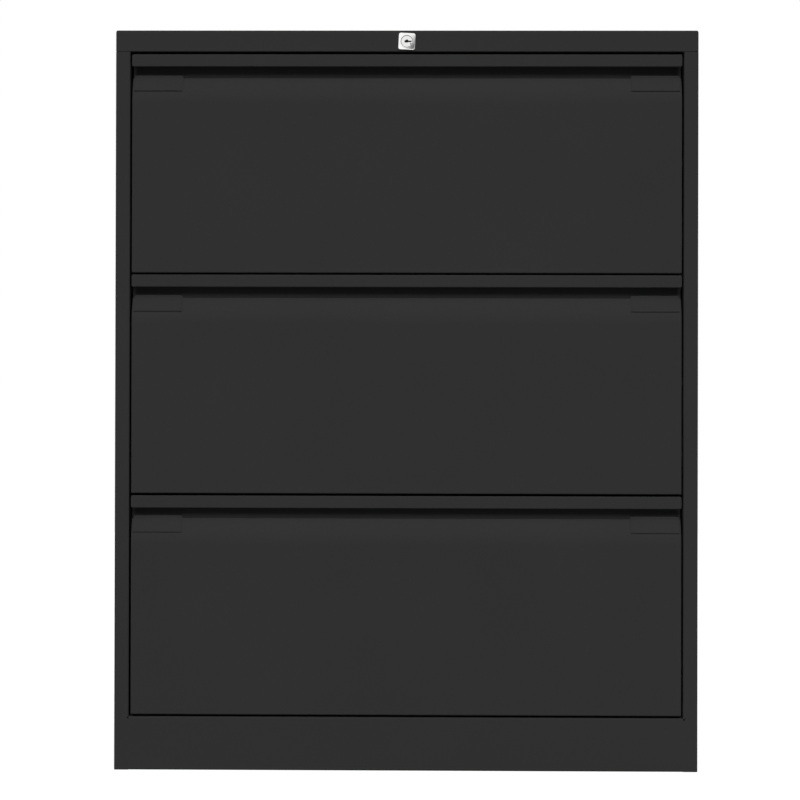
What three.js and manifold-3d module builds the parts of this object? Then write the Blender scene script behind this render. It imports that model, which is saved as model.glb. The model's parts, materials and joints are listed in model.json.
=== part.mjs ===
// A lateral filing cabinet with three full-width drawers on telescopic runners and one central lock.
// Millimetres, +Z up, the drawers open towards -Y. The origin is on the floor, under the middle of the
// cabinet's box, which the lock plate makes a little deeper than the case.
import * as THREE from "three";
import { mergeVertices } from "three/addons/utils/BufferGeometryUtils.js";
import Module from "manifold-3d";

const wasm = await Module();
wasm.setup();

// Case
const CASE_WIDTH = 800;
const CASE_DEPTH = 470;
const CASE_HEIGHT = 1016;
const CASE_SHEET = 1;
const CASE_BEND_RADIUS = 2;
const CAP_CORNER_RADIUS = 2.5;
const FASCIA_HEIGHT = 29.5;
const PLINTH_HEIGHT = 73;
const PLINTH_RETURN = 20;
const BASE_FLANGE = 16;
const STILE_WIDTH = 20;
const STILE_RETURN = 18;
const REAR_FLANGE = 15;
const UPRIGHT_SHEET = 1.2;
const UPRIGHT_WIDTH = 30;
const FRONT_UPRIGHT_SETBACK = 54;
const REAR_UPRIGHT_END_GAP = 10;

// Drawers
const DRAWER_COUNT = 3;
const DRAWER_GAP = 3;
const DRAWER_SIDE_GAP = 2.5;
const FRONT_SHEET = 1;
const FRONT_FLANGE = 16;
const RECESS_DEPTH = 18;
const LIP_SETBACK = 12;
const LIP_HEIGHT = 36;
const LIP_STEPS = 8;
const PULL_STRIP_HEIGHT = 16.5;
const PULL_STRIP_HEM = 3;
const RECESS_HEIGHT = 15;
const TRAY_SHEET = 0.8;
const TRAY_DEPTH = 415;
const TRAY_SIDE_HEIGHT = 234;
const TRAY_SIDE_LIP = 8;
const TRAY_LIFT = 6;
const RAIL_SHELF = 12;
const RAIL_LIP = 12;
const RAIL_ABOVE_TRAY_SIDE = 6;
const LABEL_WIDTH = 67;
const LABEL_INSET = 2.5;
const LABEL_SHEET = 1.2;
const LABEL_UPSTAND = 2.3;
const LABEL_DROP = 19;
const LABEL_GAP = 0.3;

// Telescopic runners
const RUNNER_THICKNESS = 12.7;
const RUNNER_HEIGHT = 45;
const RUNNER_SHEET = 1.5;
const RUNNER_LENGTH = 420;
const RUNNER_SETBACK = 24;
const RUNNER_LIFT = 60;
const RUNNER_GAP = 0.4;
const RUNNER_MOUTH = 1;

// Lock
const LOCK_DROP = 0.9;
const LOCK_PLATE_SIDE = 23;
const LOCK_PLATE_RADIUS = 2.5;
const LOCK_PLATE_EDGE = 1;
const LOCK_PROUD = 3.5;
const LOCK_FIT = 0.3;
const BARREL_DIAMETER = 19;
const BARREL_LENGTH = 22;
const NUT_ACROSS_FLATS = 22;
const NUT_THICKNESS = 5;
const PLUG_DIAMETER = 16;
const PLUG_SET_BACK = 0.4;
const PLUG_TAIL = 2;
const KEY_SLOT_LEFT = 2.6;
const KEY_SLOT_RIGHT = 6.3;
const KEY_SLOT_HEIGHT = 1.6;
const KEY_SLOT_DEPTH = 12;
const CAM_THICKNESS = 2;
const CAM_RIM = 3;
const CRANK_RADIUS = 7;
const CRANK_PIN_DIAMETER = 4;
const CRANK_PIN_END = 1;
const LOCK_LAYER_GAP = 0.6;
const LOCK_SLOT_CLEARANCE = 0.5;
const LOCK_SHELF_UPSTAND = 2.5;
const LOCK_SLIDE_THICKNESS = 2;
const LOCK_SLIDE_HEIGHT = 15;
const LOCK_SLIDE_MARGIN = 7;
const LOCK_BAR_THICKNESS = 2;
const LOCK_BAR_WIDTH = 20;
const LOCK_BAR_SIDE_GAP = 0.6;
const LOCK_BAR_FLOOR_GAP = 5;
const HEAD_MARGIN = 7.5;
const HOOK_HEIGHT = 10;
const HOOK_REACH = 6;
const CATCH_SHEET = 1.5;
const CATCH_HEIGHT = 9;
const CATCH_LIFT = 140;
const CATCH_FOOT = 20;
const CATCH_GAP = 1;
const GUIDE_SHEET = 1;
const GUIDE_HEIGHT = 25;
const GUIDE_FOOT = 6;
const LOWER_GUIDE_RISE = 227;
const UPPER_GUIDE_DROP = 126;
const ROUND_STEPS = 32;
const BEND_STEPS = 4;

// Places worked out from the sizes above. Depths count back from the case's front face.
const HALF_WIDTH = CASE_WIDTH / 2;
const FRONT = (LOCK_PROUD - CASE_DEPTH) / 2;
const REAR = FRONT + CASE_DEPTH;
const CASE_INNER = HALF_WIDTH - CASE_SHEET;
const OPENING_HALF = HALF_WIDTH - STILE_WIDTH;
const FASCIA_BOTTOM = CASE_HEIGHT - FASCIA_HEIGHT;
const DRAWER_HALF = OPENING_HALF - DRAWER_SIDE_GAP;
const DRAWER_SPACE = FASCIA_BOTTOM - PLINTH_HEIGHT - DRAWER_GAP;
const DRAWER_PITCH = DRAWER_SPACE / DRAWER_COUNT;
const DRAWER_HEIGHT = DRAWER_PITCH - DRAWER_GAP;
const DRAWER_BASES = Array.from(
  { length: DRAWER_COUNT },
  (_, i) => PLINTH_HEIGHT + DRAWER_GAP + i * DRAWER_PITCH,
);
const PANEL_TOP = DRAWER_HEIGHT - PULL_STRIP_HEIGHT - RECESS_HEIGHT;
const INNER_FRONT = RECESS_DEPTH + FRONT_SHEET;
const TRAY_FRONT = INNER_FRONT + TRAY_SHEET;
const TRAY_REAR = TRAY_FRONT + TRAY_DEPTH;
const TRAY_HALF = OPENING_HALF - RUNNER_THICKNESS;
const TRAY_SIDE_TOP = TRAY_LIFT + TRAY_SIDE_HEIGHT;
const RAIL_LEVEL = TRAY_SIDE_TOP + RAIL_ABOVE_TRAY_SIDE;
const LOCK_HEIGHT = CASE_HEIGHT - FASCIA_HEIGHT / 2 - LOCK_DROP;
const PLUG_REAR = BARREL_LENGTH + PLUG_TAIL;
const CAM_REAR = PLUG_REAR + CAM_THICKNESS;
const LOCK_SLIDE_FRONT = CAM_REAR + LOCK_LAYER_GAP;
const LOCK_SLIDE_REAR = LOCK_SLIDE_FRONT + LOCK_SLIDE_THICKNESS;
const HOOK_FRONT = LOCK_SLIDE_REAR + LOCK_LAYER_GAP;
const HOOK_REAR = HOOK_FRONT + LOCK_BAR_THICKNESS;
const CRANK_OFFSET = CRANK_RADIUS * Math.SQRT1_2;
const LOCK_TRAVEL = 2 * CRANK_OFFSET;
const CRANK_PIN_RADIUS = CRANK_PIN_DIAMETER / 2;
const LOCK_SLIDE_BOTTOM = FASCIA_BOTTOM + CASE_SHEET + LOCK_FIT;
const DRIVE_PIN_X = OPENING_HALF - 2 * LOCK_SLIDE_MARGIN;
const DRIVE_PIN_Z = LOCK_SLIDE_BOTTOM + LOCK_SLIDE_HEIGHT / 2;
const LOCK_BAR_OUTER = CASE_INNER - LOCK_BAR_SIDE_GAP;
const LOCK_BAR_INNER = LOCK_BAR_OUTER - LOCK_BAR_THICKNESS;
const LOCK_BAR_FRONT = (HOOK_FRONT + HOOK_REAR - LOCK_BAR_WIDTH) / 2;
const LOCK_BAR_REAR = LOCK_BAR_FRONT + LOCK_BAR_WIDTH;
const GUIDE_LEVELS = {
  lower: PLINTH_HEIGHT + LOWER_GUIDE_RISE,
  upper: FASCIA_BOTTOM - UPPER_GUIDE_DROP,
};

const FINISHES = {
  paint: { color: 0x303030, roughness: 0.5, metalness: 0 },
  plastic: { color: 0x2e2e2e, roughness: 0.45, metalness: 0 },
  zinc: { color: 0xb4b6b4, roughness: 0.35, metalness: 1 },
  nickel: { color: 0xd8d6d0, roughness: 0.2, metalness: 1 },
};

// A closed outline, with any holes, as a three.js shape whose outline runs anticlockwise.
function shapeOf(points, holes = []) {
  const vectors = (list) => list.map(([a, b]) => new THREE.Vector2(a, b));
  const outline = vectors(points);
  const shape = new THREE.Shape(THREE.ShapeUtils.isClockWise(outline) ? outline.reverse() : outline);
  shape.holes = holes.map((hole) => new THREE.Path(vectors(hole)));
  return shape;
}

const X_AXIS = new THREE.Vector3(1, 0, 0);
const Y_AXIS = new THREE.Vector3(0, 1, 0);
const Z_AXIS = new THREE.Vector3(0, 0, 1);

// A straight prism of an outline between two places on its length, which lies along the last axis.
// Both ends are set exactly, so that pieces that share a size meet face to face.
function prism(points, from, to, axes, holes) {
  const geometry = new THREE.ExtrudeGeometry(shapeOf(points, holes), { depth: 1, bevelEnabled: false });
  const places = geometry.getAttribute("position");
  for (let i = 0; i < places.count; i += 1) {
    places.setZ(i, places.getZ(i) > 0 ? to : from);
  }
  return geometry.applyMatrix4(new THREE.Matrix4().makeBasis(...axes));
}

// Prisms along each axis: an outline's coordinates are the part's other two, in alphabetical order.
function alongX(points, from, to) {
  return prism(points, from, to, [Y_AXIS, Z_AXIS, X_AXIS]);
}

function alongY(points, from, to, holes = []) {
  const swapped = (list) => list.map(([x, z]) => [z, x]);
  return prism(swapped(points), from, to, [Z_AXIS, X_AXIS, Y_AXIS], holes.map(swapped));
}

function alongZ(points, from, to) {
  return prism(points, from, to, [X_AXIS, Y_AXIS, Z_AXIS]);
}

function block(xs, ys, [bottom, top]) {
  return alongZ(rectangle(xs, ys), bottom, top);
}

function rectangle([a0, a1], [b0, b1]) {
  return [
    [a0, b0],
    [a1, b0],
    [a1, b1],
    [a0, b1],
  ];
}

// Points on an elliptical arc, from one angle to another in radians.
function arc([a, b], [radiusA, radiusB], from, to, steps) {
  return Array.from({ length: steps + 1 }, (_, i) => {
    const angle = from + ((to - from) * i) / steps;
    return [a + radiusA * Math.cos(angle), b + radiusB * Math.sin(angle)];
  });
}

function circle(centre, radius) {
  return arc(centre, [radius, radius], 0, 2 * Math.PI, ROUND_STEPS).slice(0, ROUND_STEPS);
}

function roundBar(radius, from, to, centre = [0, 0]) {
  return alongY(circle(centre, radius), from, to);
}

// A round-ended slot or link between two centres.
function obround([a0, b0], [a1, b1], radius) {
  const turn = Math.atan2(b1 - b0, a1 - a0);
  const radii = [radius, radius];
  const half = ROUND_STEPS / 2;
  return [
    ...arc([a1, b1], radii, turn - Math.PI / 2, turn + Math.PI / 2, half),
    ...arc([a0, b0], radii, turn + Math.PI / 2, turn + (3 * Math.PI) / 2, half),
  ];
}

// The path of a sheet's face, moved over to the left of its direction by a distance.
function offsetPath(path, distance) {
  const normals = path.slice(1).map(([a, b], i) => {
    const [da, db] = [a - path[i][0], b - path[i][1]];
    const length = Math.hypot(da, db);
    return [-db / length, da / length];
  });
  return path.map(([a, b], i) => {
    const before = normals[Math.max(i - 1, 0)];
    const after = normals[Math.min(i, normals.length - 1)];
    const reach = distance / (1 + before[0] * after[0] + before[1] * after[1]);
    return [a + reach * (before[0] + after[0]), b + reach * (before[1] + after[1])];
  });
}

// The closed section of a folded sheet: its face and, to the left of it, its other side.
function sheet(path, thickness) {
  return [...path, ...offsetPath(path, thickness).reverse()];
}

function mirrored(points, side) {
  return points.map(([a, b]) => [side * a, b]);
}

// Two distances out from the middle, as places in rising order on the left or the right.
function span(side, inner, outer) {
  return [side * inner, side * outer].sort((a, b) => a - b);
}

function solidOf(geometry) {
  const bare = new THREE.BufferGeometry();
  bare.setAttribute("position", geometry.getAttribute("position"));
  bare.setIndex(geometry.index);
  const merged = mergeVertices(bare, 1e-3);
  return new wasm.Manifold(
    new wasm.Mesh({
      numProp: 3,
      vertProperties: merged.getAttribute("position").array,
      triVerts: new Uint32Array(merged.index.array),
    }),
  );
}

function geometryOf(solid) {
  const { vertProperties, triVerts } = solid.getMesh();
  const geometry = new THREE.BufferGeometry();
  geometry.setAttribute("position", new THREE.BufferAttribute(vertProperties, 3));
  geometry.setIndex(new THREE.BufferAttribute(triVerts, 1));
  return geometry;
}

function joined(...geometries) {
  const [first, ...rest] = geometries.map(solidOf);
  return geometryOf(rest.reduce((sum, next) => sum.add(next), first));
}

function cut(geometry, ...tools) {
  return geometryOf(tools.map(solidOf).reduce((rest, tool) => rest.subtract(tool), solidOf(geometry)));
}

function piece(name, finish, geometry) {
  const mesh = new THREE.Mesh(geometry, new THREE.MeshStandardMaterial(FINISHES[finish]));
  mesh.name = name;
  return mesh;
}

const SIDES = { left: -1, right: 1 };

// The side panel is one sheet: stile return, stile, rounded front edge, side, rear flange.
function sidePanel(side) {
  const bend = [HALF_WIDTH - CASE_BEND_RADIUS, FRONT + CASE_BEND_RADIUS];
  const radii = [CASE_BEND_RADIUS, CASE_BEND_RADIUS];
  const path = [
    [OPENING_HALF, FRONT + STILE_RETURN],
    [OPENING_HALF, FRONT],
    ...arc(bend, radii, -Math.PI / 2, 0, BEND_STEPS),
    [HALF_WIDTH, REAR],
    [HALF_WIDTH - REAR_FLANGE, REAR],
  ];
  return alongZ(mirrored(sheet(path, CASE_SHEET), side), 0, FASCIA_BOTTOM);
}

// The outer edge of the cap, seen from the front, from its right foot over the top to its left foot.
function capEdge(bottom) {
  const level = CASE_HEIGHT - CAP_CORNER_RADIUS;
  const centre = HALF_WIDTH - CAP_CORNER_RADIUS;
  const radii = [CAP_CORNER_RADIUS, CAP_CORNER_RADIUS];
  return [
    [HALF_WIDTH, bottom],
    ...arc([centre, level], radii, 0, Math.PI / 2, BEND_STEPS),
    ...arc([-centre, level], radii, Math.PI / 2, Math.PI, BEND_STEPS),
    [-HALF_WIDTH, bottom],
  ];
}

// The cap: a folded top, open below, whose front wall is the fascia with the hole for the lock.
function topPanel() {
  const hollowEdge = offsetPath(capEdge(FASCIA_BOTTOM - CASE_SHEET), CASE_SHEET);
  const hollow = alongY(hollowEdge, FRONT + CASE_SHEET, REAR - CASE_SHEET);
  const lockCentre = [0, LOCK_HEIGHT];
  const holeRadius = BARREL_DIAMETER / 2 + LOCK_FIT;
  const lockHole = roundBar(holeRadius, FRONT - CASE_SHEET, FRONT + 2 * CASE_SHEET, lockCentre);
  return cut(alongY(capEdge(FASCIA_BOTTOM), FRONT, REAR), hollow, lockHole);
}

// An angle behind the fascia's lower edge, on which the lock slide runs.
function lockShelf() {
  const front = FRONT + CASE_SHEET;
  const path = [
    [front, FASCIA_BOTTOM + LOCK_SHELF_UPSTAND],
    [front, FASCIA_BOTTOM],
    [FRONT + LOCK_SLIDE_REAR, FASCIA_BOTTOM],
  ];
  return alongX(sheet(path, CASE_SHEET), -OPENING_HALF, OPENING_HALF);
}

// The back panel lies inside the rear flanges and reaches from the floor to the underside of the top.
function backPanel() {
  return block(
    [-CASE_INNER, CASE_INNER],
    [REAR - 2 * CASE_SHEET, REAR - CASE_SHEET],
    [0, CASE_HEIGHT - CASE_SHEET - CAP_CORNER_RADIUS],
  );
}

function plinthFront() {
  const path = [
    [FRONT + PLINTH_RETURN, 0],
    [FRONT, 0],
    [FRONT, PLINTH_HEIGHT],
    [FRONT + PLINTH_RETURN, PLINTH_HEIGHT],
  ];
  return alongX(sheet(path.reverse(), CASE_SHEET), -OPENING_HALF, OPENING_HALF);
}

// The floor of the case, flush with the plinth's upper return, with a flange down each side.
function basePanel() {
  const path = [
    [CASE_INNER, PLINTH_HEIGHT - BASE_FLANGE],
    [CASE_INNER, PLINTH_HEIGHT],
    [-CASE_INNER, PLINTH_HEIGHT],
    [-CASE_INNER, PLINTH_HEIGHT - BASE_FLANGE],
  ];
  return alongY(sheet(path, CASE_SHEET), FRONT + PLINTH_RETURN, REAR - 2 * CASE_SHEET);
}

// An angle along the foot of the back panel that carries the base panel's rear edge.
function rearBaseRail() {
  const rear = REAR - 2 * CASE_SHEET;
  const path = [
    [rear - PLINTH_RETURN, 0],
    [rear, 0],
    [rear, PLINTH_HEIGHT - CASE_SHEET],
    [rear - PLINTH_RETURN, PLINTH_HEIGHT - CASE_SHEET],
  ];
  const half = CASE_INNER - CASE_SHEET;
  return alongX(sheet(path, CASE_SHEET), -half, half);
}

// A folded channel on the side panel, whose web carries the runners.
function upright(side, setback) {
  const front = FRONT + setback;
  const path = [
    [CASE_INNER, front],
    [OPENING_HALF, front],
    [OPENING_HALF, front + UPRIGHT_WIDTH],
    [CASE_INNER, front + UPRIGHT_WIDTH],
  ];
  const outline = sheet(path.reverse(), UPRIGHT_SHEET);
  return alongZ(mirrored(outline, side), PLINTH_HEIGHT, FASCIA_BOTTOM);
}

// Runner members are channels that nest in each other with a running gap. Each is placed by its web,
// the reach of its flanges and its height, about the runner's middle level.
function runnerMember(web, flangeEnd, height) {
  const half = height / 2;
  const path = [
    [flangeEnd, -half],
    [web, -half],
    [web, half],
    [flangeEnd, half],
  ];
  const outward = web > flangeEnd;
  const section = sheet(outward ? path : path.reverse(), RUNNER_SHEET);
  return (side) => alongY(mirrored(section, side), RUNNER_SETBACK, RUNNER_SETBACK + RUNNER_LENGTH);
}

const MIDDLE_HEIGHT = RUNNER_HEIGHT - 2 * (RUNNER_SHEET + RUNNER_GAP);
const INNER_HEIGHT = MIDDLE_HEIGHT - 2 * (RUNNER_SHEET + RUNNER_GAP);
const MIDDLE_WEB = OPENING_HALF - RUNNER_SHEET - RUNNER_GAP;
const INNER_REACH = MIDDLE_WEB - RUNNER_SHEET - RUNNER_GAP;
const FLANGE_END = TRAY_HALF + RUNNER_SHEET + RUNNER_MOUTH;
const outerMember = runnerMember(OPENING_HALF, FLANGE_END, RUNNER_HEIGHT);
const middleMember = runnerMember(MIDDLE_WEB, FLANGE_END, MIDDLE_HEIGHT);
const innerMember = runnerMember(TRAY_HALF, INNER_REACH, INNER_HEIGHT);

// The curved lip at the top of a drawer's panel, an arc that leaves the face and ends at the lip's edge.
function lipCurve(fromHeight) {
  const radius = (LIP_HEIGHT ** 2 + LIP_SETBACK ** 2) / (2 * LIP_SETBACK);
  const foot = PANEL_TOP - LIP_HEIGHT;
  const angleAt = (height) => Math.PI - Math.asin(Math.max(height - foot, 0) / radius);
  return arc([radius, foot], [radius, radius], angleAt(fromHeight), angleAt(PANEL_TOP), LIP_STEPS);
}

// A drawer front is one sheet: bottom return, face, curved lip, ledge, recess wall, top and pull strip.
// A plate closes each end behind the face and the lip, and flanges at the rear carry the inner front.
function drawerFront() {
  const path = [
    [INNER_FRONT, FRONT_FLANGE],
    [INNER_FRONT, 0],
    [0, 0],
    ...lipCurve(0),
    [RECESS_DEPTH, PANEL_TOP],
    [RECESS_DEPTH, DRAWER_HEIGHT - FRONT_SHEET],
    [FRONT_SHEET, DRAWER_HEIGHT - FRONT_SHEET],
    [FRONT_SHEET, PANEL_TOP + RECESS_HEIGHT + FRONT_SHEET],
    [FRONT_SHEET + PULL_STRIP_HEM, PANEL_TOP + RECESS_HEIGHT + FRONT_SHEET],
  ];
  const section = sheet(path.reverse(), FRONT_SHEET);
  const endOutline = [[INNER_FRONT, 0], [0, 0], ...lipCurve(0), [INNER_FRONT, PANEL_TOP]];
  const flangeOutline = rectangle([RECESS_DEPTH, INNER_FRONT], [0, PANEL_TOP]);
  const ends = Object.values(SIDES).flatMap((side) => [
    alongX(endOutline, ...span(side, DRAWER_HALF - FRONT_SHEET, DRAWER_HALF)),
    alongX(flangeOutline, ...span(side, DRAWER_HALF - FRONT_FLANGE, DRAWER_HALF)),
  ]);
  return joined(alongX(section, -DRAWER_HALF, DRAWER_HALF), ...ends);
}

// Inner front and drawer back: a plate whose upper edge is folded into a shelf and an upstanding lip,
// on which hanging files hook.
function railPlate(face, towards, bottom) {
  const shelf = face + towards * RAIL_SHELF;
  const path = [
    [face, bottom],
    [face, RAIL_LEVEL],
    [shelf, RAIL_LEVEL],
    [shelf, RAIL_LEVEL + RAIL_LIP],
  ];
  return alongX(sheet(towards > 0 ? path.reverse() : path, TRAY_SHEET), -TRAY_HALF, TRAY_HALF);
}

function tray() {
  const path = [
    [-TRAY_HALF + TRAY_SIDE_LIP, TRAY_SIDE_TOP],
    [-TRAY_HALF, TRAY_SIDE_TOP],
    [-TRAY_HALF, TRAY_LIFT],
    [TRAY_HALF, TRAY_LIFT],
    [TRAY_HALF, TRAY_SIDE_TOP],
    [TRAY_HALF - TRAY_SIDE_LIP, TRAY_SIDE_TOP],
  ];
  return alongY(sheet(path, TRAY_SHEET), TRAY_FRONT, TRAY_REAR);
}

// A clip that follows the lip, stands up a little from its edge and reaches back to the recess wall.
function labelHolder(side) {
  const top = PANEL_TOP + LABEL_UPSTAND;
  const heel = RECESS_DEPTH - LABEL_GAP;
  const face = [...lipCurve(PANEL_TOP - LABEL_DROP), [LIP_SETBACK, top], [heel, top]];
  const back = offsetPath(face, LABEL_GAP);
  const outer = DRAWER_HALF - LABEL_INSET;
  return alongX(sheet(back, LABEL_SHEET), ...span(side, outer - LABEL_WIDTH, outer));
}

// The catch is an angle on the right side of the tray, just behind the lock bar's hook.
function lockCatch() {
  const front = HOOK_REAR + CATCH_GAP;
  const path = [
    [DRAWER_HALF, front],
    [TRAY_HALF, front],
    [TRAY_HALF, front + CATCH_FOOT],
  ];
  return alongZ(sheet(path.reverse(), CATCH_SHEET), CATCH_LIFT, CATCH_LIFT + CATCH_HEIGHT);
}

// The lock's own pieces are modelled about the plug's axis.
function lockHousing() {
  const half = LOCK_PLATE_SIDE / 2 - LOCK_PLATE_EDGE;
  const corner = half - LOCK_PLATE_RADIUS;
  const quarter = Math.PI / 2;
  const radii = [LOCK_PLATE_RADIUS, LOCK_PLATE_RADIUS];
  const outline = [
    [corner, corner],
    [-corner, corner],
    [-corner, -corner],
    [corner, -corner],
  ].flatMap((centre, i) => arc(centre, radii, i * quarter, (i + 1) * quarter, BEND_STEPS));
  const plate = new THREE.ExtrudeGeometry(shapeOf(outline), {
    depth: LOCK_PROUD - LOCK_PLATE_EDGE,
    bevelThickness: LOCK_PLATE_EDGE,
    bevelSize: LOCK_PLATE_EDGE,
    bevelSegments: BEND_STEPS,
  });
  plate.rotateX(Math.PI / 2);
  const seat = block(
    [-LOCK_PLATE_SIDE, LOCK_PLATE_SIDE],
    [0, LOCK_PLATE_SIDE],
    [-LOCK_PLATE_SIDE, LOCK_PLATE_SIDE],
  );
  const barrel = roundBar(BARREL_DIAMETER / 2, -LOCK_PROUD / 2, BARREL_LENGTH);
  const bore = roundBar(PLUG_DIAMETER / 2 + LOCK_FIT, -2 * LOCK_PROUD, 2 * BARREL_LENGTH);
  return cut(joined(cut(plate, seat), barrel), bore);
}

function lockNut() {
  const radius = NUT_ACROSS_FLATS / Math.sqrt(3);
  const hexagon = arc([0, 0], [radius, radius], 0, 2 * Math.PI, 6).slice(0, 6);
  const bore = circle([0, 0], BARREL_DIAMETER / 2 + LOCK_FIT);
  return alongY(hexagon, CASE_SHEET, CASE_SHEET + NUT_THICKNESS, [bore]);
}

function lockPlug() {
  const front = PLUG_SET_BACK - LOCK_PROUD;
  const slot = block(
    [-KEY_SLOT_LEFT, KEY_SLOT_RIGHT],
    [front - LOCK_PROUD, front + KEY_SLOT_DEPTH],
    [-KEY_SLOT_HEIGHT / 2, KEY_SLOT_HEIGHT / 2],
  );
  return cut(roundBar(PLUG_DIAMETER / 2, front, PLUG_REAR), slot);
}

// At rest the crank pin is low on the right. A quarter turn takes it as far to the left.
function lockCam() {
  const pin = [CRANK_OFFSET, -CRANK_OFFSET];
  const link = alongY(obround([0, 0], pin, CRANK_PIN_RADIUS + CAM_RIM), PLUG_REAR, CAM_REAR);
  const crankPin = roundBar(CRANK_PIN_RADIUS, PLUG_REAR, LOCK_SLIDE_REAR + CRANK_PIN_END, pin);
  return joined(link, crankPin);
}

// The lock slide is driven through an upright slot and carries the pin that moves the lock bar.
function lockSlide() {
  const half = CRANK_PIN_RADIUS + LOCK_SLOT_CLEARANCE;
  const outline = rectangle(
    [CRANK_OFFSET - half - LOCK_SLIDE_MARGIN, DRIVE_PIN_X + LOCK_SLIDE_MARGIN],
    [LOCK_SLIDE_BOTTOM, LOCK_SLIDE_BOTTOM + LOCK_SLIDE_HEIGHT],
  );
  const slot = rectangle(
    [CRANK_OFFSET - half, CRANK_OFFSET + half],
    [LOCK_HEIGHT - CRANK_RADIUS - half, LOCK_HEIGHT - CRANK_OFFSET + half],
  );
  const bar = alongY(outline, LOCK_SLIDE_FRONT, LOCK_SLIDE_REAR, [slot]);
  const pinEnd = HOOK_REAR + CRANK_PIN_END;
  return joined(bar, roundBar(CRANK_PIN_RADIUS, LOCK_SLIDE_FRONT, pinEnd, [DRIVE_PIN_X, DRIVE_PIN_Z]));
}

// The lock bar runs down the right side. Its head has a slot at 45 degrees, so that it drops as far as
// the slide moves, and one hook per drawer, which rests just above that drawer's catch.
function lockBar() {
  const headEnd = [DRIVE_PIN_X - LOCK_TRAVEL, DRIVE_PIN_Z + LOCK_TRAVEL];
  const slot = obround([DRIVE_PIN_X, DRIVE_PIN_Z], headEnd, CRANK_PIN_RADIUS + LOCK_SLOT_CLEARANCE);
  const root = (LOCK_BAR_INNER + LOCK_BAR_OUTER) / 2;
  const headOutline = rectangle(
    [headEnd[0] - HEAD_MARGIN, root],
    [DRIVE_PIN_Z - HEAD_MARGIN, headEnd[1] + HEAD_MARGIN],
  );
  const head = alongY(headOutline, HOOK_FRONT, HOOK_REAR, [slot]);
  const strip = block(
    [LOCK_BAR_INNER, LOCK_BAR_OUTER],
    [LOCK_BAR_FRONT, LOCK_BAR_REAR],
    [PLINTH_HEIGHT + LOCK_TRAVEL + LOCK_BAR_FLOOR_GAP, headEnd[1]],
  );
  const hooks = DRAWER_BASES.map((base) => {
    const bottom = base + CATCH_LIFT + CATCH_HEIGHT + CATCH_GAP;
    return block(
      [TRAY_HALF + HOOK_REACH, root],
      [HOOK_FRONT, HOOK_REAR],
      [bottom, bottom + HOOK_HEIGHT],
    );
  });
  return joined(head, strip, ...hooks);
}

// A strap over the lock bar, with both feet on the side panel.
function lockBarGuide(level) {
  const bridge = LOCK_BAR_INNER - LOCK_SLOT_CLEARANCE - GUIDE_SHEET;
  const front = LOCK_BAR_FRONT - LOCK_SLOT_CLEARANCE - GUIDE_SHEET;
  const rear = LOCK_BAR_REAR + LOCK_SLOT_CLEARANCE + GUIDE_SHEET;
  const path = [
    [CASE_INNER - GUIDE_SHEET, front - GUIDE_FOOT],
    [CASE_INNER - GUIDE_SHEET, front],
    [bridge, front],
    [bridge, rear],
    [CASE_INNER - GUIDE_SHEET, rear],
    [CASE_INNER - GUIDE_SHEET, rear + GUIDE_FOOT],
  ];
  return alongZ(sheet(path.reverse(), GUIDE_SHEET), level, level + GUIDE_HEIGHT);
}

// Groups hold pieces that are modelled from the case's front face, at their own level.
function frontGroup(level, pieces) {
  const group = new THREE.Group();
  group.position.set(0, FRONT, level);
  group.add(...pieces);
  return group;
}

function caseGroup() {
  const group = new THREE.Group();
  const rearSetback = RUNNER_SETBACK + RUNNER_LENGTH - REAR_UPRIGHT_END_GAP - UPRIGHT_WIDTH;
  group.add(
    piece("top_panel", "paint", topPanel()),
    piece("lock_shelf", "paint", lockShelf()),
    piece("back_panel", "paint", backPanel()),
    piece("plinth_front", "paint", plinthFront()),
    piece("base_panel", "paint", basePanel()),
    piece("rear_base_rail", "paint", rearBaseRail()),
  );
  for (const [name, side] of Object.entries(SIDES)) {
    group.add(
      piece(`${name}_side_panel`, "paint", sidePanel(side)),
      piece(`${name}_front_upright`, "paint", upright(side, FRONT_UPRIGHT_SETBACK)),
      piece(`${name}_rear_upright`, "paint", upright(side, rearSetback)),
    );
  }
  return group;
}

// Drawers are counted from the top, as they are used.
function drawerGroup(base, number) {
  const name = `drawer_${number}`;
  const pieces = [
    piece(`${name}_front`, "paint", drawerFront()),
    piece(`${name}_inner_front`, "paint", railPlate(INNER_FRONT, 1, TRAY_LIFT)),
    piece(`${name}_tray`, "paint", tray()),
    piece(`${name}_back`, "paint", railPlate(TRAY_REAR + TRAY_SHEET, -1, TRAY_LIFT)),
    piece(`${name}_lock_catch`, "zinc", lockCatch()),
  ];
  const runners = [];
  for (const [sideName, side] of Object.entries(SIDES)) {
    pieces.push(piece(`${name}_${sideName}_label_holder`, "plastic", labelHolder(side)));
    runners.push(
      piece(`${name}_${sideName}_runner_outer`, "zinc", outerMember(side)),
      piece(`${name}_${sideName}_runner_middle`, "zinc", middleMember(side)),
      piece(`${name}_${sideName}_runner_inner`, "zinc", innerMember(side)),
    );
  }
  const runnerGroup = new THREE.Group();
  runnerGroup.position.z = RUNNER_LIFT;
  runnerGroup.add(...runners);
  return frontGroup(base, [...pieces, runnerGroup]);
}

function lockGroups() {
  const guides = Object.entries(GUIDE_LEVELS).map(([place, level]) => {
    return piece(`lock_bar_guide_${place}`, "zinc", lockBarGuide(level));
  });
  return [
    frontGroup(LOCK_HEIGHT, [
      piece("lock_housing", "nickel", lockHousing()),
      piece("lock_nut", "zinc", lockNut()),
      piece("lock_plug", "nickel", lockPlug()),
      piece("lock_cam", "zinc", lockCam()),
    ]),
    frontGroup(0, [
      piece("lock_slide", "zinc", lockSlide()),
      piece("lock_bar", "zinc", lockBar()),
      ...guides,
    ]),
  ];
}

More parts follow.
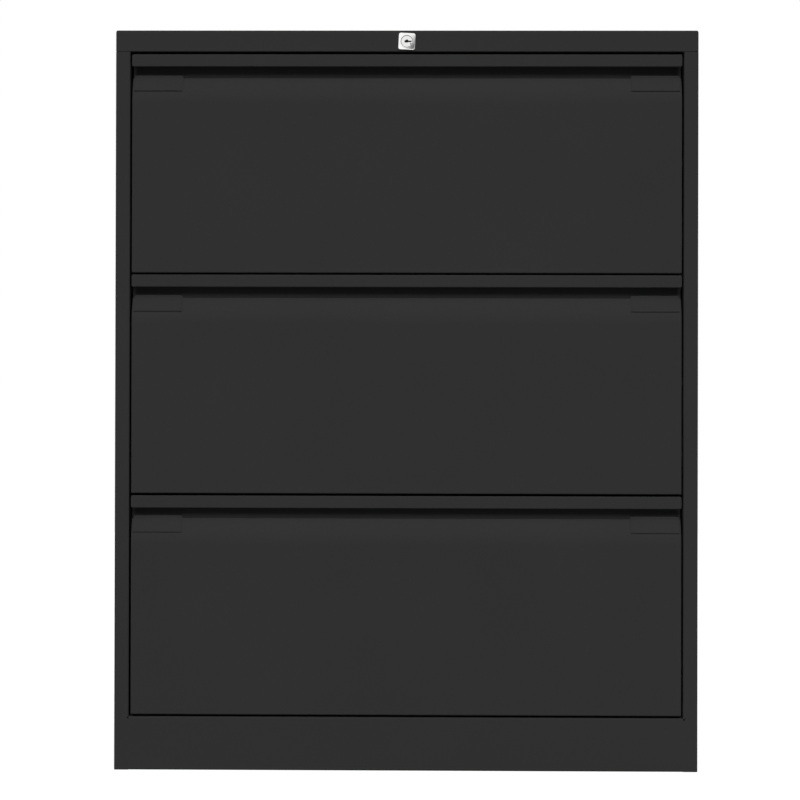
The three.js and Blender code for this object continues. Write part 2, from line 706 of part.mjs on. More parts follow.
const cabinet = new THREE.Group();
cabinet.name = "lateral_filing_cabinet";
cabinet.add(caseGroup());
DRAWER_BASES.forEach((base, i) => cabinet.add(drawerGroup(base, DRAWER_COUNT - i)));
cabinet.add(...lockGroups());

export default cabinet;
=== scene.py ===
"""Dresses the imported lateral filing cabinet: folded sheet steel, runners, lock and a plain studio."""

import json
import logging
import math
from collections.abc import Mapping, Sequence
from dataclasses import dataclass
from enum import Enum

import bmesh
import bpy
from mathutils import Matrix, Vector


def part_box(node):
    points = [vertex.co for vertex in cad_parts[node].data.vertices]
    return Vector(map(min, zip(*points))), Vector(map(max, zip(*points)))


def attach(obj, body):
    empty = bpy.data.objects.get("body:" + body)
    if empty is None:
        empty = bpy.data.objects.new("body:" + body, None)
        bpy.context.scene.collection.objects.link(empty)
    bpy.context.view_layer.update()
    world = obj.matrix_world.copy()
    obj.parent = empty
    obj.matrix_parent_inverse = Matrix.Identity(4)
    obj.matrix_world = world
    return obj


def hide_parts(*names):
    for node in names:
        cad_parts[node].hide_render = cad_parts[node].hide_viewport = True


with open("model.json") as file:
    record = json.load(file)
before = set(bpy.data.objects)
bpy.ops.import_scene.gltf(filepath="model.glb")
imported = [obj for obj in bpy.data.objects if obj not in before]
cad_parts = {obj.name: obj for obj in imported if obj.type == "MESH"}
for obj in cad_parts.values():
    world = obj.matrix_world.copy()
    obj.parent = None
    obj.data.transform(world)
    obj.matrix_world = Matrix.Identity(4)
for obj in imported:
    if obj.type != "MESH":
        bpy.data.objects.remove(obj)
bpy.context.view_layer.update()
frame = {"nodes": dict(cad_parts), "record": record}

MM = 0.001
SHARP_ANGLE = math.radians(32)
# Steps in the quarter round of an edge or a bend, and the angles that they make.
ROUND_STEPS = 4
QUARTER_ROUND = tuple(math.radians(90 * i / ROUND_STEPS) for i in range(ROUND_STEPS + 1))
HOLE_POINTS = 12
# How far in front of a face its cutter starts, in millimetres.
CUT_MARGIN = 2.0
# Most values of a noise texture lie between these.
NOISE_SPAN = (0.35, 0.65)
BUMP_STRENGTH = 0.4
# How far each drawer front hangs below its place, top one first: the photograph's gaps are uneven.
FRONT_SAGS = (0.6, 0.0, 0.0)

Point = tuple[float, float]
Path = list[Point]
Triple = tuple[float, float, float]

log = logging.getLogger("cabinet")


class Axis(Enum):
    """The direction a section is extruded in. Its points hold the other two coordinates, in order."""

    X = 0
    Y = 1
    Z = 2

    def place(self, point: Point, along: float) -> Vector:
        """The section's point at a distance along the axis."""
        before, after = point[: self.value], point[self.value :]
        return Vector((*before, along, *after))


class Side(Enum):
    """The cabinet's left or right, seen from the front."""

    LEFT = -1
    RIGHT = 1

    @property
    def label(self) -> str:
        """The word that node names use."""
        return self.name.lower()

    def mirror(self, path: Path) -> Path:
        """A path drawn for the right side, on this side."""
        return [(self.value * a, b) for a, b in path]


class Facing(Enum):
    """The way a drawer's hanging rail is folded."""

    FORWARD = -1
    BACKWARD = 1


class Member(Enum):
    """One of a runner's three channels."""

    OUTER = "outer"
    MIDDLE = "middle"
    INNER = "inner"


@dataclass(frozen=True)
class Extent:
    """The box of a CAD node at rest, in millimetres."""

    low: Vector
    high: Vector

    @classmethod
    def of(cls, node: str) -> "Extent":
        """Reads a node's box from the frame."""
        low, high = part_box(node)
        return cls(low / MM, high / MM)


def linear(hex_color: str) -> tuple[float, float, float, float]:
    """Turns an sRGB hex colour into the linear colour that a shader takes."""
    channels = [int(hex_color[i : i + 2], 16) / 255 for i in (1, 3, 5)]
    return (*(c / 12.92 if c <= 0.04045 else ((c + 0.055) / 1.055) ** 2.4 for c in channels), 1.0)


def add_node(
    tree: bpy.types.NodeTree,
    kind: str,
    inputs: Mapping[str | int, object] | None = None,
    **settings: object,
) -> bpy.types.Node:
    """Adds a node with its settings and its links.

    Args:
        tree: The tree that takes the node.
        kind: The node's type.
        inputs: A value, or an output socket to link, for each input by name or place.
        **settings: The node's own properties.

    Returns:
        The new node.
    """
    node = tree.nodes.new(kind)
    for name, value in settings.items():
        setattr(node, name, value)
    for key, value in (inputs or {}).items():
        if isinstance(value, bpy.types.NodeSocket):
            tree.links.new(value, node.inputs[key])
        else:
            node.inputs[key].default_value = value
    return node


@dataclass(frozen=True)
class Finish:
    """A surface whose grain varies its colour, roughness and relief. Sizes are in millimetres."""

    name: str
    slot: str
    color: str
    roughness: float
    metallic: float = 0.0
    specular: float = 0.5
    grain: Triple = (2.0, 2.0, 2.0)
    relief: float = 0.02
    color_spread: float = 0.06
    roughness_spread: float = 0.08
    patch: float = 140.0

    def material(self) -> bpy.types.Material:
        """Builds the node material, once for each finish.

        Returns:
            The finish's material.
        """
        found = bpy.data.materials.get(self.name)
        if found:
            return found
        material = bpy.data.materials.new(self.name)
        material.use_nodes = True
        tree = material.node_tree
        tree.nodes.clear()
        place = add_node(tree, "ShaderNodeTexCoord").outputs["Object"]
        stretch = [1 / (size * MM) for size in self.grain]
        cells = add_node(tree, "ShaderNodeMapping", {"Vector": place, "Scale": stretch})
        grain = add_node(
            tree,
            "ShaderNodeTexNoise",
            {"Vector": cells.outputs["Vector"], "Scale": 1.0, "Detail": 3.0, "Roughness": 0.5},
        )
        patches = add_node(
            tree,
            "ShaderNodeTexNoise",
            {"Vector": place, "Scale": 1 / (self.patch * MM), "Detail": 2.0, "Roughness": 0.45},
        )
        blend = add_node(
            tree,
            "ShaderNodeMix",
            {0: 0.5, 2: grain.outputs["Fac"], 3: patches.outputs["Fac"]},
            data_type="FLOAT",
        ).outputs[0]
        shade = self.spread(tree, blend, 1.0, self.color_spread)
        color = add_node(
            tree, "ShaderNodeVectorMath", {0: linear(self.color)[:3], "Scale": shade}, operation="SCALE"
        )
        bump = add_node(
            tree,
            "ShaderNodeBump",
            {"Height": grain.outputs["Fac"], "Strength": BUMP_STRENGTH, "Distance": self.relief * MM},
        )
        shader = add_node(
            tree,
            "ShaderNodeBsdfPrincipled",
            {
                "Base Color": color.outputs["Vector"],
                "Metallic": self.metallic,
                "Roughness": self.spread(tree, blend, self.roughness, self.roughness_spread),
                "Specular IOR Level": self.specular,
                "Normal": bump.outputs["Normal"],
            },
        )
        add_node(tree, "ShaderNodeOutputMaterial", {"Surface": shader.outputs["BSDF"]})
        return material

    @staticmethod
    def spread(
        tree: bpy.types.NodeTree, factor: bpy.types.NodeSocket, middle: float, width: float
    ) -> bpy.types.NodeSocket:
        """A value that varies about its middle by up to half its width, as the factor varies."""
        span = {1: NOISE_SPAN[0], 2: NOISE_SPAN[1], 3: middle - width / 2, 4: middle + width / 2}
        return add_node(tree, "ShaderNodeMapRange", {"Value": factor, **span}).outputs[0]


# Polyester powder coat, low gloss, with the soft orange peel of a sprayed and baked film. The real peel
# is about 1 mm across and is drawn at 3 mm so that it shows.
PAINT = Finish(
    "powder_coat", "case_paint", "#303030", 0.56, specular=0.03, grain=(3.0, 3.0, 3.0), relief=0.03
)
# Moulded ABS with a fine spark-eroded grain, a little smoother than the paint.
LABEL = Finish(
    "label_moulding", "label_plastic", "#2f2f2f", 0.54, specular=0.03, grain=(1.2, 1.2, 1.2)
)
# Bright zinc plate on cold-rolled strip: rolling lines along the strip, faint cloudy patches.
ZINC = Finish(
    "zinc_plate",
    "zinc_plate",
    "#b9bcba",
    0.34,
    metallic=1.0,
    grain=(0.8, 60.0, 0.8),
    relief=0.012,
    color_spread=0.18,
    roughness_spread=0.16,
    patch=45.0,
)
# Zinc plate dulled by a grey passivate, on the strips and catches of the lock.
DULL_ZINC = Finish(
    "dull_zinc_plate",
    "zinc_plate",
    "#6f716f",
    0.5,
    metallic=1.0,
    grain=(1.5, 1.5, 1.5),
    relief=0.012,
    color_spread=0.15,
    roughness_spread=0.12,
    patch=30.0,
)
# Polished nickel plate on a zinc casting, lightly brushed across.
NICKEL = Finish(
    "nickel_plate",
    "lock_nickel",
    "#f9f9f8",
    0.18,
    metallic=1.0,
    grain=(9.0, 0.5, 0.5),
    relief=0.004,
    color_spread=0.1,
    roughness_spread=0.1,
    patch=8.0,
)
# The inside of the keyway and of the index mark, coloured near black as painted shade for the deep,
# narrow hollows.
KEYWAY_PAINTED_SHADE = Finish("keyway", "lock_nickel", "#0a0a09", 0.6, specular=0.15, grain=(0.6, 0.6, 0.6))

FINISH_OF_SLOT = {finish.slot: finish for finish in (PAINT, LABEL, DULL_ZINC, NICKEL)}


def arc(centre: Point, radii: Point, start: float, end: float, steps: int) -> Path:
    """Points on an elliptical arc between two angles in degrees."""
    angles = [math.radians(start + (end - start) * i / steps) for i in range(steps + 1)]
    return [(centre[0] + radii[0] * math.cos(t), centre[1] + radii[1] * math.sin(t)) for t in angles]


def circle(centre: Point, radius: float) -> Path:
    """The outline of a small round hole."""
    step = 360 / HOLE_POINTS
    return arc(centre, (radius, radius), 0, 360 - step, HOLE_POINTS - 1)


def rounded_rectangle(half: Point, radius: float) -> Path:
    """The outline of a rectangle about the origin, with round corners.

    Args:
        half: Half its width and half its height.
        radius: The radius of its corners.

    Returns:
        The outline.
    """
    a, b = half[0] - radius, half[1] - radius
    centres = [(a, b), (-a, b), (-a, -b), (a, -b)]
    radii = (radius, radius)
    return [p for i, c in enumerate(centres) for p in arc(c, radii, 90 * i, 90 * i + 90, ROUND_STEPS)]


def offset_path(path: Path, distance: float, closed: bool = False) -> Path:
    """Moves a path to the left of its direction, with mitred corners.

    Args:
        path: The path to move.
        distance: How far it moves.
        closed: Whether the path runs on from its last point to its first.

    Returns:
        The moved path.
    """
    count = len(path)
    runs = count if closed else count - 1
    normals = []
    for i in range(runs):
        (a0, b0), (a1, b1) = path[i], path[(i + 1) % count]
        length = math.hypot(a1 - a0, b1 - b0)
        normals.append(((b0 - b1) / length, (a1 - a0) / length))
    moved = []
    for i, (a, b) in enumerate(path):
        before = normals[i - 1] if closed else normals[max(i - 1, 0)]
        after = normals[i] if closed else normals[min(i, runs - 1)]
        reach = distance / (1 + before[0] * after[0] + before[1] * after[1])
        moved.append((a + reach * (before[0] + after[0]), b + reach * (before[1] + after[1])))
    return moved


def filleted(path: Path, left: float, right: float) -> Path:
    """Rounds a path's sharp corners.

    Args:
        path: An open path.
        left: The radius where the path turns left.
        right: The radius where it turns right.

    Returns:
        The path with an arc in place of each sharp corner.
    """
    result = [path[0]]
    for before, corner, after in zip(path, path[1:], path[2:]):
        heading = math.atan2(corner[1] - before[1], corner[0] - before[0])
        turn = math.atan2(after[1] - corner[1], after[0] - corner[0]) - heading
        turn = (turn + math.pi) % math.tau - math.pi
        radius = left if turn > 0 else right
        if abs(turn) < SHARP_ANGLE:
            result.append(corner)
            continue
        reach = radius * math.tan(abs(turn) / 2)
        square = math.copysign(math.pi / 2, turn)
        centre = (
            corner[0] - reach * math.cos(heading) + radius * math.cos(heading + square),
            corner[1] - reach * math.sin(heading) + radius * math.sin(heading + square),
        )
        start = math.degrees(heading - square)
        result += arc(centre, (radius, radius), start, start + math.degrees(turn), ROUND_STEPS)
    return [*result, path[-1]]


def folded(path: Path, thickness: float, bend: float) -> Path:
    """The closed section of a sheet folded along a path.

    Args:
        path: The sheet's face. The sheet lies to the left of it.
        thickness: The sheet's thickness.
        bend: The radius on the inside of each bend.

    Returns:
        The section's outline.
    """
    face = filleted(path, bend + thickness, bend)
    other = filleted(offset_path(path, thickness), bend, bend + thickness)
    return face + other[::-1]


class Form:
    """A mesh under construction, in millimetres."""

    def __init__(self) -> None:
        """Starts with nothing."""
        self.bm = bmesh.new()

    def loft(self, rings: Sequence[Sequence[Vector]], looped: bool = False) -> "Form":
        """Joins rings of equal count into a closed surface.

        Args:
            rings: The rings, in order.
            looped: Joins the last ring to the first, instead of closing both ends.

        Returns:
            The form itself.
        """
        rows = [[self.bm.verts.new(p * MM) for p in ring] for ring in rings]
        pairs = zip(rows, rows[1:] + rows[:1]) if looped else zip(rows, rows[1:])
        for near, far in pairs:
            for i in range(len(near)):
                self.bm.faces.new((near[i - 1], near[i], far[i], far[i - 1]))
        if not looped:
            self.bm.faces.new(rows[0])
            self.bm.faces.new(rows[-1])
        return self

    def prism(self, section: Path, axis: Axis, start: float, end: float) -> "Form":
        """A section extruded along an axis."""
        return self.loft([[axis.place(p, along) for p in section] for along in (start, end)])

    def rounded_prism(
        self, section: Path, axis: Axis, start: float, end: float, radius: float
    ) -> "Form":
        """A solid section extruded along an axis, with its end edges rounded over.

        Args:
            section: The section's outline.
            axis: The direction that it is extruded in.
            start: Where it starts on the axis.
            end: Where it ends.
            radius: The radius of the end edges.

        Returns:
            The form itself.
        """
        area = sum(a0 * b1 - a1 * b0 for (a0, b0), (a1, b1) in zip(section, section[1:] + section[:1]))
        outline = section if area > 0 else section[::-1]
        rings = []
        for turn in QUARTER_ROUND:
            reach = radius * (1 - math.cos(turn))
            inset = offset_path(outline, radius * (1 - math.sin(turn)), closed=True)
            rings.append((reach, inset))
        near = [[axis.place(p, start + reach) for p in ring] for reach, ring in rings]
        far = [[axis.place(p, end - reach) for p in ring] for reach, ring in rings[::-1]]
        return self.loft(near + far)

    def mesh(self, name: str) -> bpy.types.Mesh:
        """Turns the form into a mesh with smooth bends and sharp edges.

        Args:
            name: The mesh's name.

        Returns:
            The mesh, in metres.
        """
        bmesh.ops.recalc_face_normals(self.bm, faces=self.bm.faces)
        mesh = bpy.data.meshes.new(name)
        self.bm.to_mesh(mesh)
        self.bm.free()
        mesh.shade_smooth()
        mesh.set_sharp_from_angle(angle=SHARP_ANGLE)
        return mesh


def put(name: str, data: bpy.types.ID) -> bpy.types.Object:
    """Puts a new object into the scene.

    Args:
        name: The object's name.
        data: Its mesh, light or camera.

    Returns:
        The object.
    """
    thing = bpy.data.objects.new(name, data)
    bpy.context.scene.collection.objects.link(thing)
    return thing


def applied(thing: bpy.types.Object) -> bpy.types.Mesh:
    """The mesh that an object's modifiers make."""
    graph = bpy.context.evaluated_depsgraph_get()
    return bpy.data.meshes.new_from_object(thing.evaluated_get(graph))


def settle(name: str, mesh: bpy.types.Mesh, finish: Finish, body: str, *nodes: str) -> bpy.types.Object:
    """Puts a finished mesh on the cabinet.

    Args:
        name: The piece's name.
        mesh: Its mesh, in place.
        finish: Its finish.
        body: The CAD body that it rides on.
        *nodes: The CAD nodes that it stands for.

    Returns:
        The new piece.
    """
    if not mesh.materials:
        mesh.materials.append(finish.material())
    piece = put(name, mesh)
    # Large flat faces keep their own normals, so that only the bends look round.
    normals = piece.modifiers.new("weighted_normals", "WEIGHTED_NORMAL")
    normals.keep_sharp = True
    normals.weight = 100
    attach(piece, body)
    if nodes:
        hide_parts(*nodes)
    log.info("%s: %d faces on %s", name, len(mesh.polygons), body)
    return piece


def carved(blank: bpy.types.Mesh, cutter: bpy.types.Mesh, inside: Finish) -> bpy.types.Mesh:
    """A mesh with another cut out of it.

    Args:
        blank: The mesh to cut, with its own finish.
        cutter: The space to take away.
        inside: The finish of the cut faces.

    Returns:
        The cut mesh.
    """
    cutter.materials.append(inside.material())
    things = [put("carving", mesh) for mesh in (blank, cutter)]
    cut = things[0].modifiers.new("cut", "BOOLEAN")
    cut.object = things[1]
    cut.solver = "EXACT"
    cut.material_mode = "TRANSFER"
    mesh = applied(things[0])
    mesh.set_sharp_from_angle(angle=SHARP_ANGLE)
    for thing in things:
        bpy.data.objects.remove(thing)
    return mesh


class HeadRow:
    """Rows of rivet heads, all made by one Geometry Nodes tree with named inputs."""

    INPUTS = {
        "Count": "NodeSocketInt",
        "Start": "NodeSocketVector",
        "Step": "NodeSocketVector",
        "Turn": "NodeSocketRotation",
        "Radius": "NodeSocketFloat",
        "Flatness": "NodeSocketFloat",
        "Finish": "NodeSocketMaterial",
    }
    SEGMENTS = 20
    RINGS = 12
    # Just under the ball's middle ring, and how near two points have to be to become one, in millimetres.
    CUT_LEVEL = -0.001
    WELD = 0.01

    def __init__(self) -> None:
        """Makes the tree with its inputs."""
        self.tree = bpy.data.node_groups.new("row_of_heads", "GeometryNodeTree")
        for name, kind in self.INPUTS.items():
            self.tree.interface.new_socket(name, in_out="INPUT", socket_type=kind)
        self.tree.interface.new_socket("Geometry", in_out="OUTPUT", socket_type="NodeSocketGeometry")
        self.fill()

    def fill(self) -> None:
        """Builds the tree: a flattened half ball at each point of a line."""
        tree = self.tree
        given = add_node(tree, "NodeGroupInput").outputs
        ball = add_node(
            tree,
            "GeometryNodeMeshUVSphere",
            {"Segments": self.SEGMENTS, "Rings": self.RINGS, "Radius": given["Radius"]},
        )
        place = add_node(tree, "GeometryNodeInputPosition").outputs[0]
        height = add_node(tree, "ShaderNodeSeparateXYZ", {0: place}).outputs["Z"]
        below = add_node(
            tree, "FunctionNodeCompare", {0: height, 1: self.CUT_LEVEL * MM}, operation="LESS_THAN"
        )
        dome = add_node(
            tree,
            "GeometryNodeDeleteGeometry",
            {"Geometry": ball.outputs["Mesh"], "Selection": below.outputs[0]},
            domain="POINT",
        )
        seat = add_node(
            tree,
            "GeometryNodeMeshCircle",
            {"Vertices": self.SEGMENTS, "Radius": given["Radius"]},
            fill_type="NGON",
        )
        under = add_node(tree, "GeometryNodeFlipFaces", {"Mesh": seat.outputs["Mesh"]})
        both = add_node(tree, "GeometryNodeJoinGeometry", {0: dome.outputs[0]})
        tree.links.new(under.outputs[0], both.inputs[0])
        whole = add_node(
            tree,
            "GeometryNodeMergeByDistance",
            {"Geometry": both.outputs[0], "Distance": self.WELD * MM},
        )
        scale = add_node(tree, "ShaderNodeCombineXYZ", {"X": 1.0, "Y": 1.0, "Z": given["Flatness"]})
        head = add_node(
            tree, "GeometryNodeTransform", {"Geometry": whole.outputs[0], "Scale": scale.outputs[0]}
        )
        line = add_node(
            tree,
            "GeometryNodeMeshLine",
            {"Count": given["Count"], "Start Location": given["Start"], "Offset": given["Step"]},
            mode="OFFSET",
        )
        placed = add_node(
            tree,
            "GeometryNodeInstanceOnPoints",
            {"Points": line.outputs[0], "Instance": head.outputs[0], "Rotation": given["Turn"]},
        )
        real = add_node(tree, "GeometryNodeRealizeInstances", {"Geometry": placed.outputs[0]})
        smooth = add_node(tree, "GeometryNodeSetShadeSmooth", {"Geometry": real.outputs[0]})
        dressed = add_node(
            tree, "GeometryNodeSetMaterial", {"Geometry": smooth.outputs[0], "Material": given["Finish"]}
        )
        add_node(tree, "NodeGroupOutput", {0: dressed.outputs[0]})

    def mesh(
        self,
        name: str,
        start: Vector,
        step: Vector,
        count: int,
        facing: Vector,
        finish: Finish,
        radius: float,
        height: float,
    ) -> bpy.types.Mesh:
        """One row of heads as a plain mesh.

        Args:
            name: The mesh's name.
            start: The first head's seat, in millimetres.
            step: The way from one head to the next.
            count: The number of heads.
            facing: The direction the heads face.
            finish: Their finish.
            radius: Each head's radius.
            height: Each head's height.

        Returns:
            The mesh of the whole row.
        """
        carrier = put(name, bpy.data.meshes.new(name))
        modifier = carrier.modifiers.new("row", "NODES")
        modifier.node_group = self.tree
        values = {
            "Count": count,
            "Start": start * MM,
            "Step": step * MM,
            "Turn": Vector((0, 0, 1)).rotation_difference(facing).to_euler(),
            "Radius": radius * MM,
            "Flatness": height / radius,
            "Finish": finish.material(),
        }
        for socket in self.tree.interface.items_tree:
            if socket.in_out == "INPUT":
                modifier[socket.identifier] = values[socket.name]
        mesh = applied(carrier)
        bpy.data.objects.remove(carrier)
        return mesh


@dataclass
class CaseShell:
    """The folded case: two side panels with their stiles, the cap with the fascia, and the plinth."""

    heads: HeadRow
    sheet: float = 1.0
    bend: float = 1.0
    stile_return: float = 18.0
    rear_flange: float = 15.0
    cap_edge: float = 3.0
    cap_corner: float = 2.0
    cap_least_corner: float = 0.3
    cap_bead: float = 1.2
    bead_turn: Point = (80.0, -180.0)
    bead_steps: int = 16
    joint_gap: float = 0.1
    relief: float = 1.4
    first_rivet: float = 42.0
    rivet_pitch: float = 118.0
    rivet_count: int = 9
    rivet_radius: float = 2.4
    rivet_height: float = 1.1
    body: str = "case"

    def __post_init__(self) -> None:
        """Finds the level of the relief holes."""
        self.relief_level = Extent.of("plinth_front").high.z - self.relief

    def build(self) -> None:
        """Makes every piece of the shell."""
        for side in Side:
            self.side_panel(side)
        self.cap()
        self.plinth()

    def side_panel(self, side: Side) -> None:
        """One sheet: stile return, stile, rounded front edge, side and rear flange, with its rivets.

        Args:
            side: The side of the case that it closes.
        """
        node = f"{side.label}_side_panel"
        box = Extent.of(node)
        inner, outer = sorted((abs(box.low.x), abs(box.high.x)))
        front, rear = box.low.y, box.high.y
        path = [
            (inner, front + self.stile_return),
            (inner, front),
            (outer, front),
            (outer, rear),
            (outer - self.rear_flange, rear),
        ]
        section = side.mirror(folded(path, self.sheet, self.bend))
        sheet = Form().prism(section, Axis.Z, box.low.z, box.high.z - self.joint_gap).mesh(node)
        sheet.materials.append(PAINT.material())
        relief = circle((side.value * (inner + self.relief), self.relief_level), self.relief)
        cut_end = front + self.stile_return / 2
        hole = Form().prism(relief, Axis.Y, front - CUT_MARGIN, cut_end).mesh("relief")
        settle(node, carved(sheet, hole, PAINT), PAINT, self.body, node)
        middle = side.value * (outer - self.rear_flange / 2)
        row = f"{side.label}_flange_rivets"
        rivets = self.heads.mesh(
            row,
            Vector((middle, rear, self.first_rivet)),
            Vector((0, 0, self.rivet_pitch)),
            self.rivet_count,
            Vector((0, 1, 0)),
            PAINT,
            self.rivet_radius,
            self.rivet_height,
        )
        settle(row, rivets, PAINT, self.body)

    def cap(self) -> None:
        """The top and its fascia: walls turned down, upper edges rounded, the lower edge rolled in."""
        box = Extent.of("top_panel")
        middle = (box.low + box.high) / 2
        half = (box.high - box.low) / 2
        edge = self.cap_edge
        inner_edge = edge - self.sheet
        crest = (edge, box.high.z - edge)
        bead_centre = (self.cap_bead, box.low.z + self.cap_bead)
        inside = arc(crest, (inner_edge, inner_edge), 90, 180, ROUND_STEPS)
        foot = arc(bead_centre, (self.cap_bead, self.cap_bead), *self.bead_turn, self.bead_steps)
        outside = arc(crest, (edge, edge), 180, 90, ROUND_STEPS)
        rings = []
        for inset, level in inside + foot + outside:
            radius = max(self.cap_corner - inset, self.cap_least_corner)
            outline = rounded_rectangle((half.x - inset, half.y - inset), radius)
            rings.append([Vector((middle.x + a, middle.y + b, level)) for a, b in outline])
        form = Form().loft(rings)
        settle("top_panel", form.mesh("top_panel"), PAINT, self.body, "top_panel")

    def plinth(self) -> None:
        """The plinth front, run on to the flat of each stile, with a relief notch at both ends."""
        box = Extent.of("plinth_front")
        front, rear = box.low.y, box.high.y
        reach = self.bend + self.sheet
        notch = box.high.z - 2 * self.relief
        form = Form()
        for top, start, end in (
            (box.high.z, box.low.x, box.high.x),
            (notch, box.low.x - reach, box.low.x),
            (notch, box.high.x, box.high.x + reach),
        ):
            path = [(rear, top), (front, top), (front, box.low.z), (rear, box.low.z)]
            form.prism(folded(path, self.sheet, self.bend), Axis.X, start, end)
        settle("plinth_front", form.mesh("plinth_front"), PAINT, self.body, "plinth_front")


@dataclass
class Drawer:
    """One drawer, measured back from its front face and up from its lower edge."""

    number: int
    sag: float = 0.0
    sheet: float = 1.0
    tray_sheet: float = 0.8
    bend: float = 0.9
    face_edge: float = 1.2
    recess_depth: float = 18.0
    lip_setback: float = 12.0
    lip_height: float = 36.0
    lip_edge: float = 0.9
    lip_steps: int = 16
    foot_edge: float = 1.8
    panel_top: float = 269.0
    strip_bottom: float = 283.4
    strip_bend: float = 0.4
    hem: float = 3.0
    strip_corner: float = 2.0
    rail_shelf: float = 12.0
    rail_lip: float = 12.0
    rail_bend: float = 0.5
    tray_lip: float = 8.0
    label_sheet: float = 1.2
    label_gap: float = 0.3
    label_outer_corner: float = 3.2
    label_inner_corner: float = 0.8
    label_taper: float = 2.5
    label_thin: float = 0.3
    # The radii where the label holder's section turns left and right.
    label_back_bends: Point = (1.5, 0.4)
    label_front_bends: Point = (0.3, 1.6)
    label_stem_steps: int = 4

    def __post_init__(self) -> None:
        """Finds the drawer's place."""
        self.body = f"drawer_{self.number}"
        self.box = Extent.of(f"{self.body}_front")
        self.base = self.box.low.z - self.sag

    def shift(self, path: Path) -> Path:
        """A path in the drawer's own depth and height, moved to its place in the cabinet."""
        return [(self.box.low.y + u, self.base + v) for u, v in path]

    def build(self) -> None:
        """Makes every piece of the drawer."""
        self.front()
        self.rail_plate("inner_front", Facing.BACKWARD)
        self.rail_plate("back", Facing.FORWARD)
        self.tray()
        for side in Side:
            self.label_holder(side)

    def lip(self, start: float = 0.0) -> Path:
        """The arc at the top of the panel.

        Args:
            start: The height that it starts from, or below the arc for the whole of it.

        Returns:
            The arc's points, up to the lip's edge.
        """
        radius = (self.lip_height**2 + self.lip_setback**2) / (2 * self.lip_setback)
        foot = self.panel_top - self.lip_height
        rises = (max(start - foot, 0.0), self.panel_top - foot)
        lower, upper = (180 - math.degrees(math.asin(rise / radius)) for rise in rises)
        return arc((radius, foot), (radius, radius), lower, upper, self.lip_steps)

    def front(self) -> None:
        """The panel with its curved lip, and the recess wall that comes forward as the pull strip."""
        half = self.box.high.x
        height = self.box.high.z - self.box.low.z
        rear = self.box.high.y - self.box.low.y
        foot = (self.foot_edge, self.foot_edge)
        lower_edge = arc(foot, foot, 270, 180, ROUND_STEPS)
        outline = [(rear, 0), *lower_edge, *self.lip(), (rear, self.panel_top)]
        panel = filleted(outline, self.lip_edge, self.lip_edge)
        form = Form().rounded_prism(self.shift(panel), Axis.X, -half, half, self.face_edge)
        fold = [
            (self.sheet + self.hem, self.strip_bottom + self.sheet),
            (self.sheet, self.strip_bottom + self.sheet),
            (self.sheet, height - self.sheet),
            (self.recess_depth, height - self.sheet),
            (self.recess_depth, self.panel_top - self.sheet),
        ]
        section = folded(fold, self.sheet, self.strip_bend)
        rings = []
        for turn in QUARTER_ROUND:
            reach = self.strip_corner * (1 - math.sin(turn))
            inset = self.strip_corner * (1 - math.cos(turn))
            ends = [(u, self.tucked(v, reach, height)) for u, v in section]
            rings.append((inset, self.shift(ends)))
        near = [[Axis.X.place(p, inset - half) for p in ring] for inset, ring in rings]
        far = [[Axis.X.place(p, half - inset) for p in ring] for inset, ring in rings[::-1]]
        form.loft(near + far)
        name = f"{self.body}_front"
        settle(name, form.mesh(name), PAINT, self.body, name)

    def tucked(self, level: float, reach: float, height: float) -> float:
        """Draws a level on the pull strip in, at the strip's round corners.

        Args:
            level: The level away from the corners.
            reach: How far the strip's upper and lower edges are drawn in.
            height: The drawer front's height.

        Returns:
            The level, moved if it is on one of the two edges.
        """
        fold = 3 * self.sheet
        if level > height - fold:
            return level - reach
        if self.strip_bottom - self.sheet / 2 < level < self.strip_bottom + fold:
            return level + reach
        return level

    def rail_plate(self, part: str, facing: Facing) -> None:
        """The inner front or the back: a plate whose top is folded into a hanging rail.

        Args:
            part: The end of the plate's node name.
            facing: The way the rail is folded.
        """
        name = f"{self.body}_{part}"
        box = Extent.of(name)
        face = box.low.y if facing is Facing.BACKWARD else box.high.y
        shelf = face + facing.value * self.rail_shelf
        level = box.high.z - self.rail_lip
        path = [(face, box.low.z), (face, level), (shelf, level), (shelf, box.high.z)]
        if facing is Facing.BACKWARD:
            path.reverse()
        section = folded(path, self.tray_sheet, self.rail_bend)
        form = Form().prism(section, Axis.X, box.low.x, box.high.x)
        settle(name, form.mesh(name), PAINT, self.body, name)

    def tray(self) -> None:
        """The floor and sides of the drawer, with the side edges turned in."""
        name = f"{self.body}_tray"
        box = Extent.of(name)
        path = [
            (box.low.x + self.tray_lip, box.high.z),
            (box.low.x, box.high.z),
            (box.low.x, box.low.z),
            (box.high.x, box.low.z),
            (box.high.x, box.high.z),
            (box.high.x - self.tray_lip, box.high.z),
        ]
        section = folded(path, self.tray_sheet, self.bend)
        form = Form().prism(section, Axis.Y, box.low.y, box.high.y)
        settle(name, form.mesh(name), PAINT, self.body, name)

